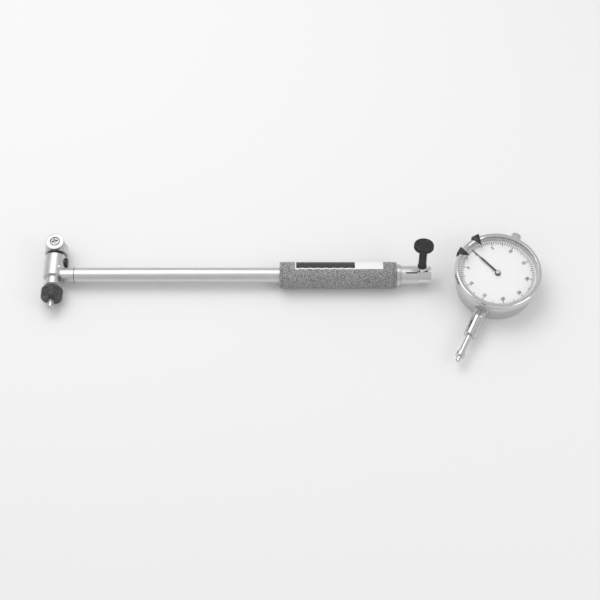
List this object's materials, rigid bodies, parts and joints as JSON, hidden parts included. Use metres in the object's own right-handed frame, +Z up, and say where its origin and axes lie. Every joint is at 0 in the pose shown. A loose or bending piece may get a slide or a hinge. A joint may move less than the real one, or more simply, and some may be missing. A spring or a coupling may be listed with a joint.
{
  "type": "dial bore gauge",
  "caption": "Long-tube bore gauge with a spring contact, centring rollers and an insulated grip; its dial indicator, with a turning bezel and limit markers, lies beside it.",
  "frame": {"origin": "centre of the indicator's flat back, on the surface that the gauge lies on", "axes": "+X along the holder's tube from the measuring head to the indicator clamp, +Y along the measuring axis from the anvil to the contact, +Z up, out of the indicator's face"},
  "size_m": [0.3135, 0.0915, 0.0347],
  "materials": {
    "ground_steel": "satin ground steel",
    "hard_tip": "polished hard metal",
    "screw_steel": "bright screws",
    "spring_steel": "spring wire",
    "black_oxide": "black oxide",
    "black_knob": "satin black",
    "grip_coat": "textured grey insulating sleeve",
    "ring_metal": "satin",
    "bright_chrome": "mirror chrome",
    "spindle_steel": "polished steel",
    "movement_brass": "satin brass",
    "face_enamel": "white enamel with black graduations",
    "pointer_black": "black paint",
    "crystal_clear": "clear"
  },
  "bodies": {
    "frame": {"head_body": "ground_steel", "tube_socket": "ground_steel", "tube": "ground_steel", "grip": "grip_coat", "grip_ring": "ring_metal", "rod_bush_front": "movement_brass", "rod_bush_middle": "movement_brass", "rod_bush_rear": "movement_brass", "collet": "ground_steel", "clamp_ring": "bright_chrome", "anvil": "hard_tip", "stop_screw": "black_oxide", "crank_pin": "ground_steel", "bridge_spring": "spring_steel", "push_rod_spring": "spring_steel", "case": "bright_chrome", "back_cover": "bright_chrome", "back_cover_screws": "screw_steel", "stem": "bright_chrome", "dust_cap": "bright_chrome", "front_plate": "movement_brass", "rear_plate": "movement_brass", "plate_pillars": "movement_brass"},
    "contact": {"contact": "ground_steel", "contact_tip": "hard_tip"},
    "crank": {"crank": "ground_steel"},
    "push_rod": {"push_rod": "ground_steel"},
    "bridge": {"bridge": "ground_steel", "bridge_pin_left": "ground_steel", "bridge_pin_right": "ground_steel", "roller_screw_upper": "screw_steel", "roller_screw_lower": "screw_steel"},
    "roller_upper": {"roller_upper": "hard_tip"},
    "roller_lower": {"roller_lower": "hard_tip"},
    "lock_nut": {"lock_nut": "black_oxide"},
    "clamp_screw": {"clamp_screw": "black_knob"},
    "bezel": {"bezel": "bright_chrome", "crystal": "crystal_clear", "dial_face": "face_enamel"},
    "marker_first": {"limit_marker_first": "black_oxide"},
    "marker_second": {"limit_marker_second": "black_oxide"},
    "bezel_lock": {"bezel_lock_screw": "bright_chrome"},
    "spindle": {"spindle": "spindle_steel", "contact_point": "spindle_steel", "spindle_guide_pin": "spindle_steel"},
    "rack_gear": {"rack_gear": "movement_brass"},
    "take_up_gear": {"take_up_gear": "movement_brass"},
    "pointer": {"centre_arbor": "movement_brass", "needle": "pointer_black"}
  },
  "joints": [
    {"name": "push_rod_slide", "type": "slide", "parent": "frame", "child": "push_rod", "axis": [1, 0, 0], "range_m": [0, 0.0012], "stiffness_N_per_m": 900, "springref_m": -0.002, "deforming": ["push_rod_spring"]},
    {"name": "contact_slide", "type": "slide", "parent": "frame", "child": "contact", "axis": [0, -1, 0], "range_m": [0, 0.0012]},
    {"name": "crank_turn", "type": "hinge", "parent": "frame", "child": "crank", "pos_m": [-0.2743, 0.0065, 0.00835], "axis": [0, 0, 1], "range_deg": [0, 20]},
    {"name": "bridge_slide", "type": "slide", "parent": "frame", "child": "bridge", "axis": [0, -1, 0], "range_m": [0, 0.0012], "stiffness_N_per_m": 1500, "springref_m": -0.002, "deforming": ["bridge_spring"]},
    {"name": "roller_upper_spin", "type": "hinge", "parent": "bridge", "child": "roller_upper", "pos_m": [-0.2779, 0.023, 0.01475], "axis": [0, 0, 1], "continuous": true},
    {"name": "roller_lower_spin", "type": "hinge", "parent": "bridge", "child": "roller_lower", "pos_m": [-0.2779, 0.023, 0.00195], "axis": [0, 0, 1], "continuous": true},
    {"name": "lock_nut_turn", "type": "hinge", "parent": "frame", "child": "lock_nut", "pos_m": [-0.2779, -0.0069, 0.00835], "axis": [0, -1, 0], "range_deg": [0, 720]},
    {"name": "clamp_screw_turn", "type": "hinge", "parent": "frame", "child": "clamp_screw", "pos_m": [-0.0468, 0.0029, 0.00835], "axis": [0, 0.309, 0.9511], "range_deg": [0, 720]},
    {"name": "bezel_turn", "type": "hinge", "parent": "frame", "child": "bezel", "pos_m": [0, 0, 0.0131], "axis": [0, 0, 1], "continuous": true},
    {"name": "marker_first_turn", "type": "hinge", "parent": "bezel", "child": "marker_first", "pos_m": [0, 0, 0.0206], "axis": [0, 0, 1], "range_deg": [-150, 12]},
    {"name": "marker_second_turn", "type": "hinge", "parent": "bezel", "child": "marker_second", "pos_m": [0, 0, 0.0206], "axis": [0, 0, 1], "range_deg": [-12, 150]},
    {"name": "bezel_lock_turn", "type": "hinge", "parent": "frame", "child": "bezel_lock", "pos_m": [0.02336, 0.0067, 0.0096], "axis": [0.9613, 0.2756, 0], "range_deg": [0, 360]},
    {"name": "spindle_slide", "type": "slide", "parent": "frame", "child": "spindle", "axis": [0.4384, 0.8988, 0], "range_m": [0, 0.00635], "stiffness_N_per_m": 60, "springref_m": -0.02},
    {"name": "rack_gear_turn", "type": "hinge", "parent": "frame", "child": "rack_gear", "pos_m": [-0.00773, -0.00782, 0.0102], "axis": [0, 0, 1], "range_deg": [-1, 181]},
    {"name": "take_up_gear_turn", "type": "hinge", "parent": "frame", "child": "take_up_gear", "pos_m": [0.00773, 0.00782, 0.0102], "axis": [0, 0, 1], "range_deg": [-1, 181]},
    {"name": "pointer_turn", "type": "hinge", "parent": "frame", "child": "pointer", "pos_m": [0, 0, 0.0165], "axis": [0, 0, 1], "range_deg": [-1801, 1]}
  ],
  "couplings": [
    {"joint": "contact_slide", "follows": "push_rod_slide", "ratio": 1},
    {"joint": "crank_turn", "follows": "push_rod_slide", "rad_per_m": 277.78},
    {"joint": "rack_gear_turn", "follows": "spindle_slide", "rad_per_m": 494.74},
    {"joint": "take_up_gear_turn", "follows": "spindle_slide", "rad_per_m": 494.74},
    {"joint": "pointer_turn", "follows": "spindle_slide", "rad_per_m": -4947.4}
  ]
}
